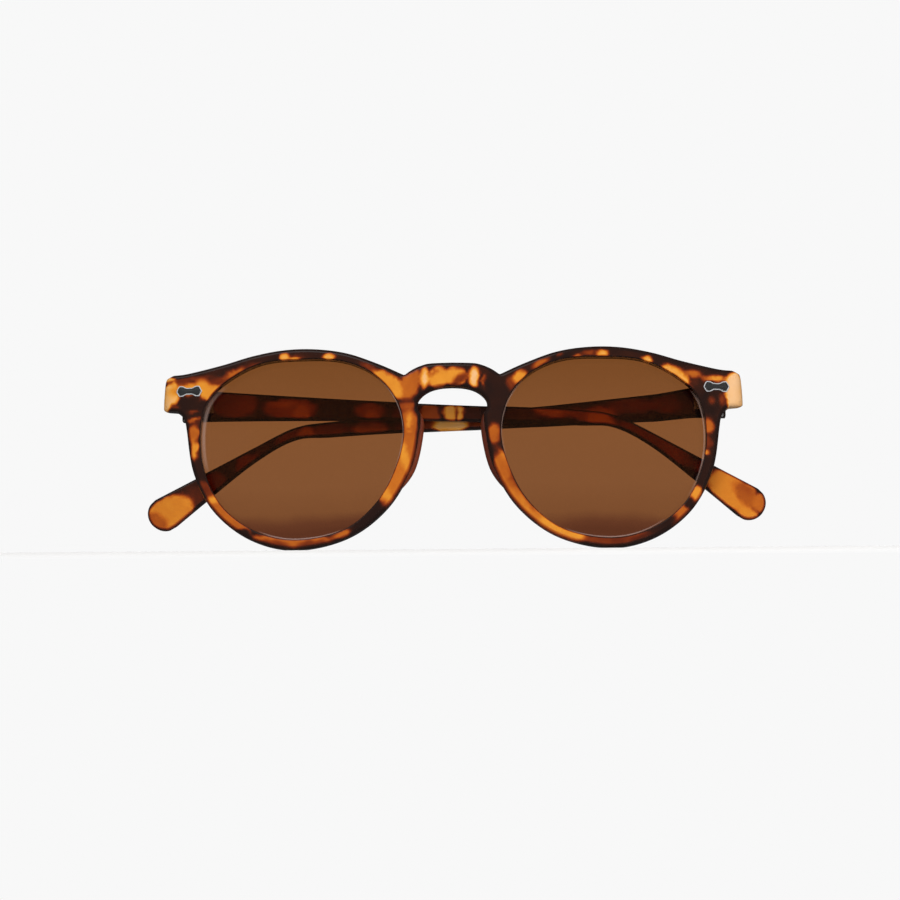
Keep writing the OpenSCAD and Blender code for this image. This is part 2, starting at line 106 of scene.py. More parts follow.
END_BACK = float(face_y(HINGE_X)) + END_T
HINGE_Y = END_BACK + HINGE_OFFSET
TEMPLE_OUTER = HINGE_OFFSET + TEMPLE_T
DEPTH = (HINGE_Y + TEMPLE_OUTER * math.cos(math.radians(LEFT_FOLD))
         + TEMPLE_L * math.sin(math.radians(LEFT_FOLD)))


# Smooth curves and outlines, as arrays of (x, z)

CURVE_STEPS = 12
# How an outline is moved inwards: the step, and the share by which each point is drawn to its neighbours
RING_STEP, RING_SMOOTHING = 0.1, 0.12


def blend(a, b, c, d, t):
    """The point at t, which is 0 at b and 1 at c, on the smooth curve through a, b, c and d."""
    return 0.5 * (2 * b + (c - a) * t + (2 * a - 5 * b + 4 * c - d) * t ** 2 + (3 * b - a - 3 * c + d) * t ** 3)


def curve(points, n=CURVE_STEPS):
    """Points of a smooth open curve through the points, n steps a span."""
    p = np.array(points, float)
    last = len(p) - 1
    found = [blend(p[max(i - 1, 0)], p[i], p[i + 1], p[min(i + 2, last)], k / n)
             for i in range(last) for k in range(n)]
    return np.array(found + [p[last]])


def loop_curve(points):
    """Points of a smooth closed curve through the points."""
    p = np.array(points, float)
    m = len(p)
    return np.array([blend(p[i - 1], p[i], p[(i + 1) % m], p[(i + 2) % m], k / CURVE_STEPS)
                     for i in range(m) for k in range(CURVE_STEPS)])


def resample(loop, step):
    """The closed outline with points at even distances."""
    closed = np.vstack([loop, loop[:1]])
    along = np.concatenate([[0], np.cumsum(np.linalg.norm(np.diff(closed, axis=0), axis=1))])
    count = int(round(along[-1] / step))
    at = np.arange(count) * along[-1] / count
    return np.stack([np.interp(at, along, closed[:, k]) for k in (0, 1)], axis=1)


def turned(loop, anticlockwise):
    """The outline, run through in the wanted direction."""
    x, z = loop[:, 0], loop[:, 1]
    area = np.sum(x * np.roll(z, -1) - np.roll(x, -1) * z)
    return loop if (area > 0) == anticlockwise else loop[::-1]


def inward(loop):
    """Unit normals to the left of the outline's own direction."""
    t = np.roll(loop, -1, axis=0) - np.roll(loop, 1, axis=0)
    t /= np.linalg.norm(t, axis=1, keepdims=True) + 1e-12
    return np.stack([-t[:, 1], t[:, 0]], axis=1)


def rings(loop, insets):
    """The outline moved inwards to each distance, in small steps that keep tight corners from crossing."""
    found, at, now = [], 0.0, loop
    for inset in insets:
        while at < inset - 1e-9:
            step = min(RING_STEP, inset - at)
            now = now + inward(now) * step
            middle = (np.roll(now, 1, axis=0) + np.roll(now, -1, axis=0)) / 2
            now = now + (middle - now) * RING_SMOOTHING
            at += step
        found.append(now)
    return found


def inside(points, loop):
    """True for each point inside the closed outline."""
    x, z = points[:, 0][:, None], points[:, 1][:, None]
    a, b = loop, np.roll(loop, -1, axis=0)
    above = (a[:, 1] > z) != (b[:, 1] > z)
    cross = (b[:, 0] - a[:, 0]) * (z - a[:, 1]) / (b[:, 1] - a[:, 1] + 1e-15) + a[:, 0]
    return np.sum(above & (x < cross), axis=1) % 2 == 1


def within(points, rim, holes):
    """True for each point inside the rim and outside the holes."""
    found = inside(points, rim)
    for hole in holes:
        found &= ~inside(points, hole)
    return found


def step_up(value, low, high):
    """0 up to low, 1 from high on, and smooth between them."""
    t = np.clip((value - low) / (high - low), 0, 1)
    return t * t * (3 - 2 * t)


# Outlines of the front, from shares of its sizes as in the part's own model

LENS_SHAPE = [(1, 0.21), (0.93, 0.56), (0.72, 0.79), (0.39, 0.965), (0, 1), (-0.4, 0.97), (-0.72, 0.81),
              (-0.925, 0.54), (-1, 0.19), (-0.935, -0.18), (-0.75, -0.58), (-0.42, -0.895), (0.05, -1),
              (0.45, -0.895), (0.78, -0.61), (0.957, -0.215)]
BROW_SHAPE = [(-1.01, 0.318), (-0.763, 0.191), (-0.454, 0.065), (-0.143, 0.01), (0.167, 0.011),
              (0.477, 0.067), (0.788, 0.161)]
KEYHOLE_SHAPE = [(0.9, 0.82), (0.985, 0.645), (0.98, 0.42), (0.84, 0.237), (0.613, 0.097), (0.323, 0.022),
                 (0, 0)]


def lens_point(i, grow=0.0):
    """Point i of the left lens's outline, moved away from the lens's middle by grow."""
    p = np.array([LENS_SHAPE[i][0] * LENS_A, LENS_SHAPE[i][1] * LENS_B])
    return np.array([LENS_X, LENS_Z]) + p * (1 + grow / np.linalg.norm(p))


def lens_outline(grow=0.0):
    return loop_curve([lens_point(i, grow) for i in range(len(LENS_SHAPE))])


# The rim's outer edge beside the nose, from below
NOSE_LOW = lens_point(10, (RIM_NOSE + 2 * RIM_BOTTOM) / 3)
NOSE_MIDDLE = lens_point(9, RIM_NOSE - 0.4)
NOSE_HIGH = lens_point(8, RIM_NOSE)


def front_outline():
    """Outer edge of the front: its left half from the middle of the brow round to the keyhole, mirrored."""
    notch = np.array([LENS_X + BROW_SHAPE[0][0] * LENS_A, BROW_Z - BROW_SHAPE[0][1] * LENS_B])
    bridge_top = curve([
        (0, BRIDGE_Z),
        (0.37 * BRIDGE_FLAT, BRIDGE_Z - 0.025 * BRIDGE_H),
        (0.53 * BRIDGE_FLAT, BRIDGE_Z - 0.105 * BRIDGE_H),
        ((BRIDGE_FLAT / 2 + 1.4 * notch[0]) / 2.4, (BRIDGE_Z + 1.2 * notch[1]) / 2.2),
        notch])
    brow = curve([(LENS_X + a * LENS_A, BROW_Z - b * LENS_B) for a, b in BROW_SHAPE]
                 + [(HALF_W - 0.67 * END_REACH, END_Z + 0.25 * END_ROUND), (HALF_W - 0.28 * END_REACH, END_Z)])
    end = curve([
        (HALF_W - 0.65 * END_ROUND, END_Z - 0.55 * END_ROUND),
        (HALF_W - 0.3 * END_ROUND, END_Z - 1.6 * END_ROUND),
        (HALF_W, END_FOOT + END_ROUND),
        (HALF_W - 0.2 * END_ROUND, END_FOOT + 0.3 * END_ROUND),
        (HALF_W - END_ROUND, END_FOOT)])
    side_x = LENS_X + LENS_A + RIM_SIDE
    under = curve([
        (HALF_W - 0.38 * END_REACH, END_FOOT - 0.02 * END_H),
        ((HALF_W + side_x) / 2 - 0.2 * END_REACH, END_FOOT - 0.18 * END_H),
        (side_x + 0.05 * END_REACH, END_FOOT - 0.4 * END_H),
        lens_point(0, RIM_SIDE + 0.3),
        lens_point(15, (2 * RIM_SIDE + RIM_BOTTOM) / 3 - 0.2),
        lens_point(14, RIM_BOTTOM + 0.1),
        lens_point(13, RIM_BOTTOM),
        (LENS_X + 0.05 * LENS_A, 0),
        lens_point(11, RIM_BOTTOM - 0.2),
        NOSE_LOW, NOSE_MIDDLE, NOSE_HIGH])
    keyhole = curve([NOSE_HIGH]
                    + [(a * KEYHOLE_W / 2, KEYHOLE_Z - b * KEYHOLE_W / 2) for a, b in KEYHOLE_SHAPE])
    half = np.vstack([bridge_top, brow[1:], end, under, keyhole[1:]])
    return np.vstack([half, half[-2:0:-1] * [-1, 1]])


# Surfaces of the front and the lenses, as depths behind the middle of the face

CORNER_X = HALF_W - END_CORNER_R
CORNER_Y = FACE_R - math.sqrt((FACE_R - END_CORNER_R) ** 2 - CORNER_X ** 2)
CORNER_START = CORNER_X * FACE_R / (FACE_R - END_CORNER_R)

# Where the back steps up to the thick end pieces: sideways, and above their foot
BLOCK_X = (HALF_W - END_BLOCK - 0.6, HALF_W - END_BLOCK + 0.7)
BLOCK_Z = (END_FOOT - END_HAUNCH - 0.6, END_FOOT - END_HAUNCH + 0.8)


def front_near(p):
    """The face, rounded off at its outer corners."""
    x = np.abs(p[:, 0])
    corner = CORNER_Y - np.sqrt(np.clip(END_CORNER_R ** 2 - np.square(np.maximum(x - CORNER_X, 0)), 0, None))
    return np.where(x < CORNER_START, face_y(np.minimum(x, HALF_W)), corner)


def front_far(p):
    """The back: a curved band, and the flat thick end pieces."""
    x = np.abs(p[:, 0])
    band = FACE_R - np.sqrt((FACE_R - FRONT_T) ** 2 - x ** 2)
    return band + (END_BACK - SKIN - band) * step_up(x, *BLOCK_X) * step_up(p[:, 1], *BLOCK_Z)


TURN = math.asin(LENS_X / FACE_R)
LENS_CENTRE = (LENS_X - LENS_R * math.sin(TURN),
               float(face_y(LENS_X)) + LENS_RECESS + LENS_R * math.cos(TURN),
               LENS_Z)


def lens_depth(p, behind):
    """Depth, in either lens, of the surface that lies behind the outer one by that much."""
    off = np.square(np.abs(p[:, 0]) - LENS_CENTRE[0]) + np.square(p[:, 1] - LENS_CENTRE[2])
    return LENS_CENTRE[1] - np.sqrt((LENS_R - behind) ** 2 - off)


# Meshes

# Vertices closer together than this are one
WELD = 0.002
# Rings round an edge, and the distance from the last of them to one more ring on the flat
ROUND_STEPS, FLAT_RING = 6, 0.35
# A plate thinner than this has flatter edges, in proportion, but never flatter than the share
FULL_EDGE_T, LEAST_EDGE = 3.4, 0.15
# Points on the flats: their distance in steps of the outline, and in such distances that of their rows
# and the least one from an edge
GRID_GAP, ROW_GAP, EDGE_GAP = 1.7, 0.87, 0.6
# How many of them are measured against the edges at a time
CHUNK = 400
# Where a wall without a groove has vertices between its two edges
WALL_ROWS = (0.25, 0.5, 0.75)


def set_attribute(mesh, label, values):
    mesh.attributes.new(label, "FLOAT", "POINT").data.foreach_set("value", np.array(values, np.float32))


def solid(name, verts, faces, **attributes):
    """A smooth object in the scene, with double vertices welded and all faces turned outwards.

    Each attribute has a number for every vertex."""
    mesh = bpy.data.meshes.new(name)
    mesh.from_pydata(verts, [], faces)
    for label, values in attributes.items():
        set_attribute(mesh, label, values)
    bm = bmesh.new()
    bm.from_mesh(mesh)
    bmesh.ops.remove_doubles(bm, verts=bm.verts, dist=WELD)
    bmesh.ops.recalc_face_normals(bm, faces=bm.faces)
    bm.to_mesh(mesh)
    bm.free()
    mesh.shade_smooth()
    obj = bpy.data.objects.new(name, mesh)
    bpy.context.scene.collection.objects.link(obj)
    return obj


def coordinates(obj):
    co = np.zeros(len(obj.data.vertices) * 3, np.float32)
    obj.data.vertices.foreach_get("co", co)
    return co.reshape(-1, 3).astype(float)


def place(obj, move=None):
    """Moves the mesh from where it is drawn, in millimetres, to its place in the frame, in metres."""
    co = coordinates(obj)
    if move:
        co = move(co)
    co[:, 1] -= DEPTH / 2
    obj.data.vertices.foreach_set("co", (co * MM).astype(np.float32).ravel())
    obj.data.update()


def rounded(radius):
    """Profile of a rounded edge: pairs of how far in and how far down, from the wall to the flat."""
    angles = np.linspace(0, math.pi / 2, ROUND_STEPS)
    return [(radius * (1 - math.cos(a)), radius * (1 - math.sin(a))) for a in angles] + [(radius + FLAT_RING, 0)]


def even_grid(rim, holes, gap):
    """Points of an even grid inside the rim and outside the holes, none of them close to an edge."""
    edges = np.vstack([rim] + holes)
    low, high = edges.min(axis=0), edges.max(axis=0)
    rows = np.arange(low[1], high[1], gap * ROW_GAP)
    grid = np.array([(x + (gap / 2 if r % 2 else 0), z)
                     for r, z in enumerate(rows) for x in np.arange(low[0], high[0], gap)])
    grid = grid[within(grid, rim, holes)]
    away = [np.linalg.norm(chunk[:, None] - edges[None], axis=2).min(axis=1)
            for chunk in np.array_split(grid, max(1, len(grid) // CHUNK))]
    return grid[np.concatenate(away) > gap * EDGE_GAP]


def triangles(rim, holes, grid):
    """Triangles between the points of the rim, the holes and the grid, as numbers counted in this order."""
    links, at = [], 0
    for ring in [rim] + holes:
        n = len(ring)
        links += [(at + i, at + (i + 1) % n) for i in range(n)]
        at += n
    points = np.vstack([rim] + holes + [grid])
    found, _, corners, origins, _, _ = delaunay_2d_cdt([Vector(p) for p in points], links, [], 0, 1e-7)
    corners = np.array(corners)
    middle = np.array([tuple(found[i]) for i in corners.ravel()]).reshape(-1, 3, 2).mean(axis=1)
    return [[origins[i][0] for i in three] for three in corners[within(middle, rim, holes)]
            if all(origins[i] for i in three)]


def plate(name, outer, holes, near, far, near_edge, far_edge, step, groove=None, hole_edge=None):
    """A solid between two surfaces over an outline with holes: every edge is rounded as its profile says.

    A groove for the holes' walls is given as its depth, its near surface and its far one. The object is
    drawn in millimetres, and its attribute edge is 1 on a flat and 0 on a wall."""
    loops = [turned(resample(outer, step), True)] + [turned(resample(h, step), False) for h in holes]
    verts, faces, edge = [], [], []

    def add(points, y, share):
        start = len(verts)
        verts.extend((p[0], q, p[1]) for p, q in zip(points, y))
        edge.extend([share] * len(points))
        return start

    def strip(a, b, n, flip=False):
        for i in range(n):
            j = (i + 1) % n
            faces.append((a + i, b + i, b + j, a + j) if flip else (a + i, a + j, b + j, b + i))

    def cover(surface, edge_profile, sign):
        """Adds one side of the plate, and returns where the outermost ring of each loop starts."""
        outermost, innermost, inner = [], [], []
        for k, loop in enumerate(loops):
            profile = hole_edge if k and hole_edge else edge_profile
            width = profile[-2][0]
            starts = []
            for (inset, drop), ring in zip(profile, rings(loop, [q[0] for q in profile])):
                thin = np.clip((far(ring) - near(ring)) / FULL_EDGE_T, LEAST_EDGE, 1)
                starts.append(add(ring, surface(ring) + sign * drop * thin, min(1, inset / width)))
            for a, b in zip(starts, starts[1:]):
                strip(a, b, len(loop), sign > 0)
            outermost.append(starts[0])
            innermost.append(starts[-1])
            inner.append(ring)
        rim, *inner_holes = inner
        grid = even_grid(rim, inner_holes, step * GRID_GAP)
        innermost.append(add(grid, surface(grid), 1.0))
        numbers = np.concatenate([a + np.arange(len(p)) for a, p in zip(innermost, inner + [grid])]).tolist()
        for three in triangles(rim, inner_holes, grid):
            face = tuple(numbers[i] for i in three)
            faces.append(face if sign > 0 else face[::-1])
        return outermost

    tops, bottoms = cover(near, near_edge, 1), cover(far, far_edge, -1)
    for k, (loop, top, bottom) in enumerate(zip(loops, tops, bottoms)):
        n = len(loop)
        if k and groove:
            deep, front, rear = groove
            cut = loop + inward(loop) * deep
            rows = [(loop, front(loop)), (cut, front(cut)), (cut, rear(cut)), (loop, rear(loop))]
        else:
            y0, y1 = (np.array([verts[start + i][1] for i in range(n)]) for start in (top, bottom))
            rows = [(loop, y0 + (y1 - y0) * t) for t in WALL_ROWS]
        starts = [top] + [add(points, y, 0.0) for points, y in rows] + [bottom]
        for a, b in zip(starts, starts[1:]):
            strip(a, b, n)
    return solid(name, verts, faces, edge=edge)


# Tortoiseshell: the tone of the plastic, from 0 for near black to 1 for pale amber. Each patch is
# (x, z, half length, half height, turn in degrees, tone), in millimetres, painted in this order.
# x and z are those of the front, or run along a temple from its hinge.

DARK, BROWN, RED, ORANGE, AMBER, PALE = 0.04, 0.19, 0.33, 0.51, 0.7, 0.93

FRONT_PATCHES = [
    # Under the lenses, from side to side
    (-56, 9, 10, 4, -52, ORANGE), (-40, 1.4, 12, 3, -2, ORANGE), (-14, 17, 11, 3.6, 62, 0.58),
    (16, 14, 13, 3.6, -58, 0.6), (27, 3.6, 7, 3, -22, AMBER), (41, 1.4, 10, 3, 3, RED), (57, 10, 7, 4, 48, ORANGE),
    # Right end piece, brow and rim
    (-72.2, 39, 5, 7.5, 0, PALE), (-65.4, 41, 4.2, 1.6, 4, AMBER), (-66, 43.3, 6, 0.6, 6, RED),
    (-64.5, 36.2, 4.6, 2.7, 0, DARK), (-68.6, 36, 1.7, 1, 40, RED), (-62.4, 42, 0.5, 1.8, 10, RED),
    (-60.4, 40.6, 3.4, 2.1, -48, AMBER), (-57.6, 41.2, 4.4, 1, 33, AMBER), (-56.6, 42.9, 3.2, 1, 12, RED),
    (-53.4, 44.7, 2.6, 0.9, 22, ORANGE), (-52.4, 43.4, 3.6, 0.5, 38, ORANGE), (-48.4, 46, 1.9, 0.8, 20, RED),
    (-41.2, 47.9, 1.3, 1.2, -15, 0.82), (-38.8, 47.3, 1.9, 0.6, 2, 0.8), (-30.4, 47.7, 1.6, 0.9, 4, 0.8),
    (-63.6, 35.2, 1.4, 0.4, 10, RED), (-63.5, 33.4, 1.6, 0.5, 10, ORANGE), (-63.6, 29.8, 1.6, 2.2, 0, ORANGE),
    (-63.2, 25.6, 1.2, 2.6, 0, AMBER), (-62, 25.4, 0.4, 1.2, 0, BROWN), (-61.8, 20, 2, 3.6, 10, DARK),
    (-60.6, 15.6, 1.6, 2.6, 26, RED), (-58.4, 13.2, 1.5, 0.9, 0, AMBER), (-51, 4, 1.9, 1.5, -32, DARK),
    (-44, 1.4, 4, 1.2, -6, RED), (-34, 1.2, 3.6, 1.2, 4, RED), (-26.8, 3.5, 2.8, 1, 14, ORANGE),
    (-20.8, 7.4, 5.2, 2.5, 44, DARK), (-19, 10.6, 1.6, 1.2, 60, DARK),
    (-24.5, 45.2, 2.6, 0.35, -24, ORANGE), (-20.2, 44.8, 2.4, 0.8, -25, RED),
    (-15.4, 40.6, 5.2, 2.5, -36, AMBER), (-10.4, 40.4, 2.2, 3.6, 0, ORANGE), (-11, 35.2, 2.6, 1, 6, 0.42),
    (-11, 28.4, 2.8, 6.4, -4, ORANGE), (-10.6, 31, 0.7, 2.4, -4, AMBER), (-11.6, 22, 1, 5, 14, AMBER),
    (-16.4, 13.4, 1, 3.4, 40, AMBER),
    # Bridge; its first patch, the pale one, is a painted highlight
    (-6.7, 42, 1, 2.6, 0, PALE), (-3.4, 42, 2.4, 3, 0, AMBER), (0.8, 42.2, 3, 2.4, 0, AMBER),
    (-4.4, 43.2, 1.6, 0.5, 35, ORANGE), (2.2, 41.8, 2.3, 0.9, 32, RED), (5.4, 42, 1.2, 2.8, 0, PALE),
    (8, 41, 0.7, 1.6, 0, ORANGE), (-8.6, 42, 1, 2.4, 0, ORANGE),
    (11.2, 38, 3.2, 7.6, 0, DARK), (10.2, 28, 1.6, 2.7, -4, ORANGE), (10, 23.8, 1.5, 1.9, 20, BROWN),
    (9, 24, 0.9, 3, 10, DARK), (13.6, 18, 1.6, 5.4, 30, ORANGE), (17, 14, 0.6, 5.2, 33, RED),
    # Left brow, end piece and rim
    (16.4, 42.2, 2.2, 1.4, 38, AMBER), (14.3, 40.4, 1, 1.8, 10, RED), (21.8, 45.7, 2.4, 0.8, 32, ORANGE),
    (26.8, 47.9, 1, 0.6, 30, RED), (31, 47.4, 1.3, 0.45, 8, ORANGE), (34, 48.4, 1.6, 0.6, 6, RED),
    (37.4, 48.2, 1.4, 0.9, -4, 0.8), (41.5, 47.1, 5, 0.35, -5, ORANGE), (48.5, 46.7, 1.4, 1.1, -14, 0.8),
    (54.4, 44.5, 3, 1.1, -10, 0.78), (57.4, 42, 2.9, 1.3, -50, 0.78), (60, 43.6, 2.4, 0.9, -12, ORANGE),
    (60.4, 41.2, 1.4, 1.1, 0, BROWN), (62.6, 42.6, 0.4, 1, 20, RED), (65.6, 42.6, 2.8, 0.8, -2, AMBER),
    (71, 39, 3, 6, 0, 0.95), (64.3, 36.4, 2.9, 3, 0, DARK), (64.6, 37, 0.9, 1.2, 0, RED),
    (67.2, 37.4, 0.8, 1.6, 0, RED), (63.7, 30.7, 1.5, 2, 0, ORANGE), (63.2, 26.6, 1.2, 1.8, 0, RED),
    (62.9, 23.9, 0.9, 0.7, 20, AMBER), (62.2, 19.4, 2, 3.4, -8, DARK), (59.8, 14, 1.8, 1.8, 40, AMBER),
    (58.4, 11.4, 1.2, 1.4, -30, DARK), (52.6, 6.4, 2.6, 1.3, 38, DARK), (47, 2.6, 3.4, 1, 20, BROWN),
]
RIGHT_TEMPLE_PATCHES = [
    # Behind the lenses
    (12, 38, 6, 3.6, 0, 0.38), (26, 36.6, 7, 2.6, 0, 0.4), (24, 38, 4, 1, 0, ORANGE), (29, 35, 2, 2.6, 0, ORANGE),
    (36, 35.6, 2.6, 2.2, 0, DARK), (46, 35.8, 4, 2, 0, 0.42), (46.5, 34.4, 1.8, 1.6, 0, ORANGE),
    # Behind the bridge
    (54, 34.6, 2, 2.6, 0, RED), (61, 34.6, 2.6, 3, 0, 0.4), (67.2, 35.2, 2.7, 2.5, 0, 0.76),
    (67.6, 35.2, 0.25, 2.4, 0, RED), (72, 34.6, 2.2, 3, 0, BROWN),
    # From there to the bend, and down the ear piece
    (84, 34.4, 5, 2, 0, BROWN), (92, 35.6, 5, 2, -4, ORANGE), (100, 34.4, 6, 2, -8, 0.39),
    (104, 32.4, 4, 2, -20, ORANGE), (112, 29.8, 4, 2, -30, RED), (118, 27, 4, 1.8, -33, RED),
    (123, 23.6, 4, 2, -33, RED), (128.4, 20.6, 2.6, 1.8, -33, RED),
    # Tip
    (136, 15.2, 6.4, 4.6, -33, 0.62), (139.6, 13.4, 4.2, 2.2, -50, 0.46), (144, 11.4, 3, 2.6, -30, 0.52),
    (140, 8.6, 4, 1.6, -30, 0.64),
]
LEFT_TEMPLE_PATCHES = [
    # Behind the lenses
    (10, 37, 5, 3, 0, BROWN), (14, 37, 4, 2.4, 0, RED), (22, 36.8, 6, 2, 0, RED), (31, 34.6, 5, 2.2, 0, ORANGE),
    (36, 35, 3, 2, 0, RED), (46, 33.4, 3, 2, 0, DARK),
    # Behind the bridge
    (56, 32.6, 3, 1.8, 0, BROWN), (60.6, 32.4, 2, 2, 0, RED), (73.4, 32.2, 2, 2, 0, RED),
    (67.6, 32.6, 4.4, 2.2, -2, 0.88),
    # From there to the bend, and down the ear piece
    (78, 32.2, 4, 1.8, 0, RED), (88, 32, 5, 1.8, -2, ORANGE), (98, 31.8, 5, 2, -6, RED),
    (107, 30, 5, 2, -20, RED), (104, 31, 2, 1.6, -20, ORANGE), (115, 25.6, 3, 2, -30, BROWN),
    (119, 23.4, 3.4, 2.2, -30, RED), (127, 18.6, 3, 3, -30, RED), (132, 15.4, 2, 3.4, 58, BROWN),
    # Tip
    (138.6, 10.8, 6.6, 4.6, -30, 0.64), (142.6, 8.4, 3.4, 3, 30, 0.47),
]
PAD_PATCHES = [(-10, 22, 6, 16, 0, 0.34), (10, 22, 6, 16, 0, 0.26)]

# The tone between the patches, how far it drifts, and how often in a millimetre
GROUND_TONE, DRIFT, DRIFT_RATE = 0.1, 0.16, 0.16
# How far the edges of the patches wander, in millimetres, and how often in a millimetre
WANDER, WANDER_RATE = 0.45, 0.55
# Half the width over which an edge fades, in millimetres, and the most as a share of the patch
FADE, MOST_FADE = 0.55, 0.6
# How far the pattern shifts for each millimetre of depth
FRONT_SLANT, TEMPLE_SLANT = 0.12, 0.1
# Places in the noise where the patterns start
FRONT_SEED, PAD_SEED, RIGHT_TEMPLE_SEED, LEFT_TEMPLE_SEED = 2.0, 2.0, 5.0, 11.0


def tone_at(points, patches, seed):
    """Tone at each (x, z), with edges that wander a little."""
    x, z = points[:, 0], points[:, 1]
    wander = np.array([(noise.noise(Vector((a * WANDER_RATE, b * WANDER_RATE, seed))),
                        noise.noise(Vector((a * WANDER_RATE, b * WANDER_RATE, seed + 9.0))),
                        noise.noise(Vector((a * DRIFT_RATE, b * DRIFT_RATE, seed + 4.0)))) for a, b in zip(x, z)])
    px, pz = x + WANDER * wander[:, 0], z + WANDER * wander[:, 1]
    tone = np.full(len(x), GROUND_TONE) + DRIFT * wander[:, 2]
    for cx, cz, rx, rz, turn, value in patches:
        c, s = math.cos(math.radians(turn)), math.sin(math.radians(turn))
        u, v = px - cx, pz - cz
        q = np.hypot((u * c + v * s) / rx, (v * c - u * s) / rz)
        fade = min(MOST_FADE, FADE / min(rx, rz))
        tone = tone + (value - tone) * (1 - step_up(q, 1 - fade, 1 + fade))
    return tone


def paint(obj, patches, seed, slant=0.0, depth=0.0):
    """Gives the drawn mesh its tone. The pattern shifts by the slant with the distance behind the depth."""
    co = coordinates(obj)
    points = co[:, [0, 2]] + slant * (co[:, 1:2] - depth)
    set_attribute(obj.data, "tone", tone_at(points, patches, seed))


# Materials

def linear(r, g, b):
    """A colour as it is seen, in steps of 0 to 255, as the shader's own numbers."""
    return tuple(((c / 255 + 0.055) / 1.055) ** 2.4 if c > 10 else c / 255 / 12.92 for c in (r, g, b)) + (1.0,)


class Shader:
    """A node material with a Principled shader, and short calls to add nodes."""

    def __init__(self, name, **sockets):
        self.material = bpy.data.materials.new(name)
        self.material.use_nodes = True
        self.tree = self.material.node_tree
        self.main = self.tree.nodes["Principled BSDF"]
        for key, value in sockets.items():
            self.main.inputs[key.replace("_", " ")].default_value = value

    def add(self, kind, **values):
        """A node, with each value set on the node itself or on its socket of that name."""
        node = self.tree.nodes.new("ShaderNode" + kind)
        for key, value in values.items():
            if hasattr(node, key):
                setattr(node, key, value)
            else:
                node.inputs[key.replace("_", " ")].default_value = value
        return node

    def link(self, a, b):
        self.tree.links.new(a, b)

    def maths(self, kind, a, b, clamp=False):
        node = self.add("Math", operation=kind, use_clamp=clamp)
        for socket, value in zip(node.inputs, (a, b)):
            if isinstance(value, (int, float)):
                socket.default_value = value
            else:
                self.link(value, socket)
        return node.outputs[0]

    def sway(self, value, by):
        """How far the value lies from a half, times by."""
        return self.maths("MULTIPLY", self.maths("SUBTRACT", value, 0.5), by)

    def attribute(self, name):
        return self.add("Attribute", attribute_name=name).outputs["Fac"]

    def position(self):
        return self.add("TexCoord").outputs["Object"]

    def height(self):
        """z in the frame, in metres."""
        split = self.add("SeparateXYZ")
        self.link(self.position(), split.inputs[0])
        return split.outputs["Z"]

    def ramp(self, value, stops):
        node = self.add("ValToRGB")
        elements = node.color_ramp.elements
        while len(elements) < len(stops):
            elements.new(0.5)
        for element, (at, colour) in zip(elements, stops):
            element.position = at
            element.color = colour
        self.link(value, node.inputs[0])
        return node.outputs[0]

    def noise(self, scale, detail=3.0, **values):
        node = self.add("TexNoise", Scale=scale, Detail=detail, **values)
        self.link(self.position(), node.inputs["Vector"])
        return node.outputs["Fac"]

    def bump(self, height, strength, distance):
        node = self.add("Bump", Strength=strength, Distance=distance)
        self.link(height, node.inputs["Height"])
        self.link(node.outputs[0], self.main.inputs["Normal"])

    def mix(self, share, a, b):
        """Shader a, with that share of shader b."""
        node = self.add("MixShader")
        for socket, value in zip(node.inputs, (share, a, b)):
            self.link(value, socket)
        return node.outputs[0]

    def surface(self, shader):
        self.link(shader, self.tree.nodes["Material Output"].inputs["Surface"])


TORTOISE = [(0.0, linear(31, 19, 16)), (0.16, linear(48, 23, 15)), (0.3, linear(88, 32, 14)),
            (0.42, linear(128, 54, 16)), (0.56, linear(168, 88, 24)), (0.72, linear(196, 126, 38)),
            (0.86, linear(206, 148, 76)), (1.0, linear(206, 166, 126))]
# Painted shade: the tone taken off a wall and its rounded edges, standing in for their dark look as they reflect
# dark surroundings and are seen through more of the plastic
WALL_PAINTED_SHADE = 0.42
# Plastic of this tone or paler gets none of this painted shade, and all of it from a fifth of the scale below
CLEAR_TONE, CLEAR_RISE = 0.95, 5.0

# Colour of the lenses over a height of 50 mm, from below
LENS_HEIGHT = 50 * MM
LENS_TINT = [(0.1, linear(97, 53, 33)), (0.14, linear(106, 60, 37)), (0.19, linear(130, 81, 47)),
             (0.32, linear(137, 87, 51)), (0.6, linear(138, 87, 49)), (0.9, linear(129, 79, 40))]
# Colour of the painted highlights and reflections along the lens edges
LENS_HIGHLIGHT_PAINT = linear(205, 180, 172)

# The darker colour of the metals' grain, as a share of the colour itself
GRAIN_SHADE = 0.8


def tortoise(name, roughness):
    """Polished tortoiseshell: the painted tone with clouds and a fine grain, and painted shade on the walls."""
    s = Shader(name, IOR=1.49)
    cloud = s.sway(s.noise(150, 3.0, Roughness=0.5), 0.2)
    grain = s.sway(s.noise(900, 3.0, Roughness=0.6), 0.03)
    tone = s.maths("ADD", s.attribute("tone"), s.maths("ADD", cloud, grain))
    # Painted shade on the walls, less of it on pale plastic
    shade_share = s.maths("MULTIPLY", s.maths("SUBTRACT", CLEAR_TONE, tone), CLEAR_RISE, clamp=True)
    wall = s.maths("MULTIPLY", s.maths("SUBTRACT", 1.0, s.attribute("edge")), WALL_PAINTED_SHADE)
    s.link(s.ramp(s.maths("SUBTRACT", tone, s.maths("MULTIPLY", wall, shade_share)), TORTOISE),
           s.main.inputs["Base Color"])
    wear = s.noise(2400, 4.0)
    s.link(s.maths("ADD", s.maths("MULTIPLY", wear, 0.09), roughness), s.main.inputs["Roughness"])
    s.bump(s.noise(160, 2.0), 0.06, 0.0004)
    return s.material


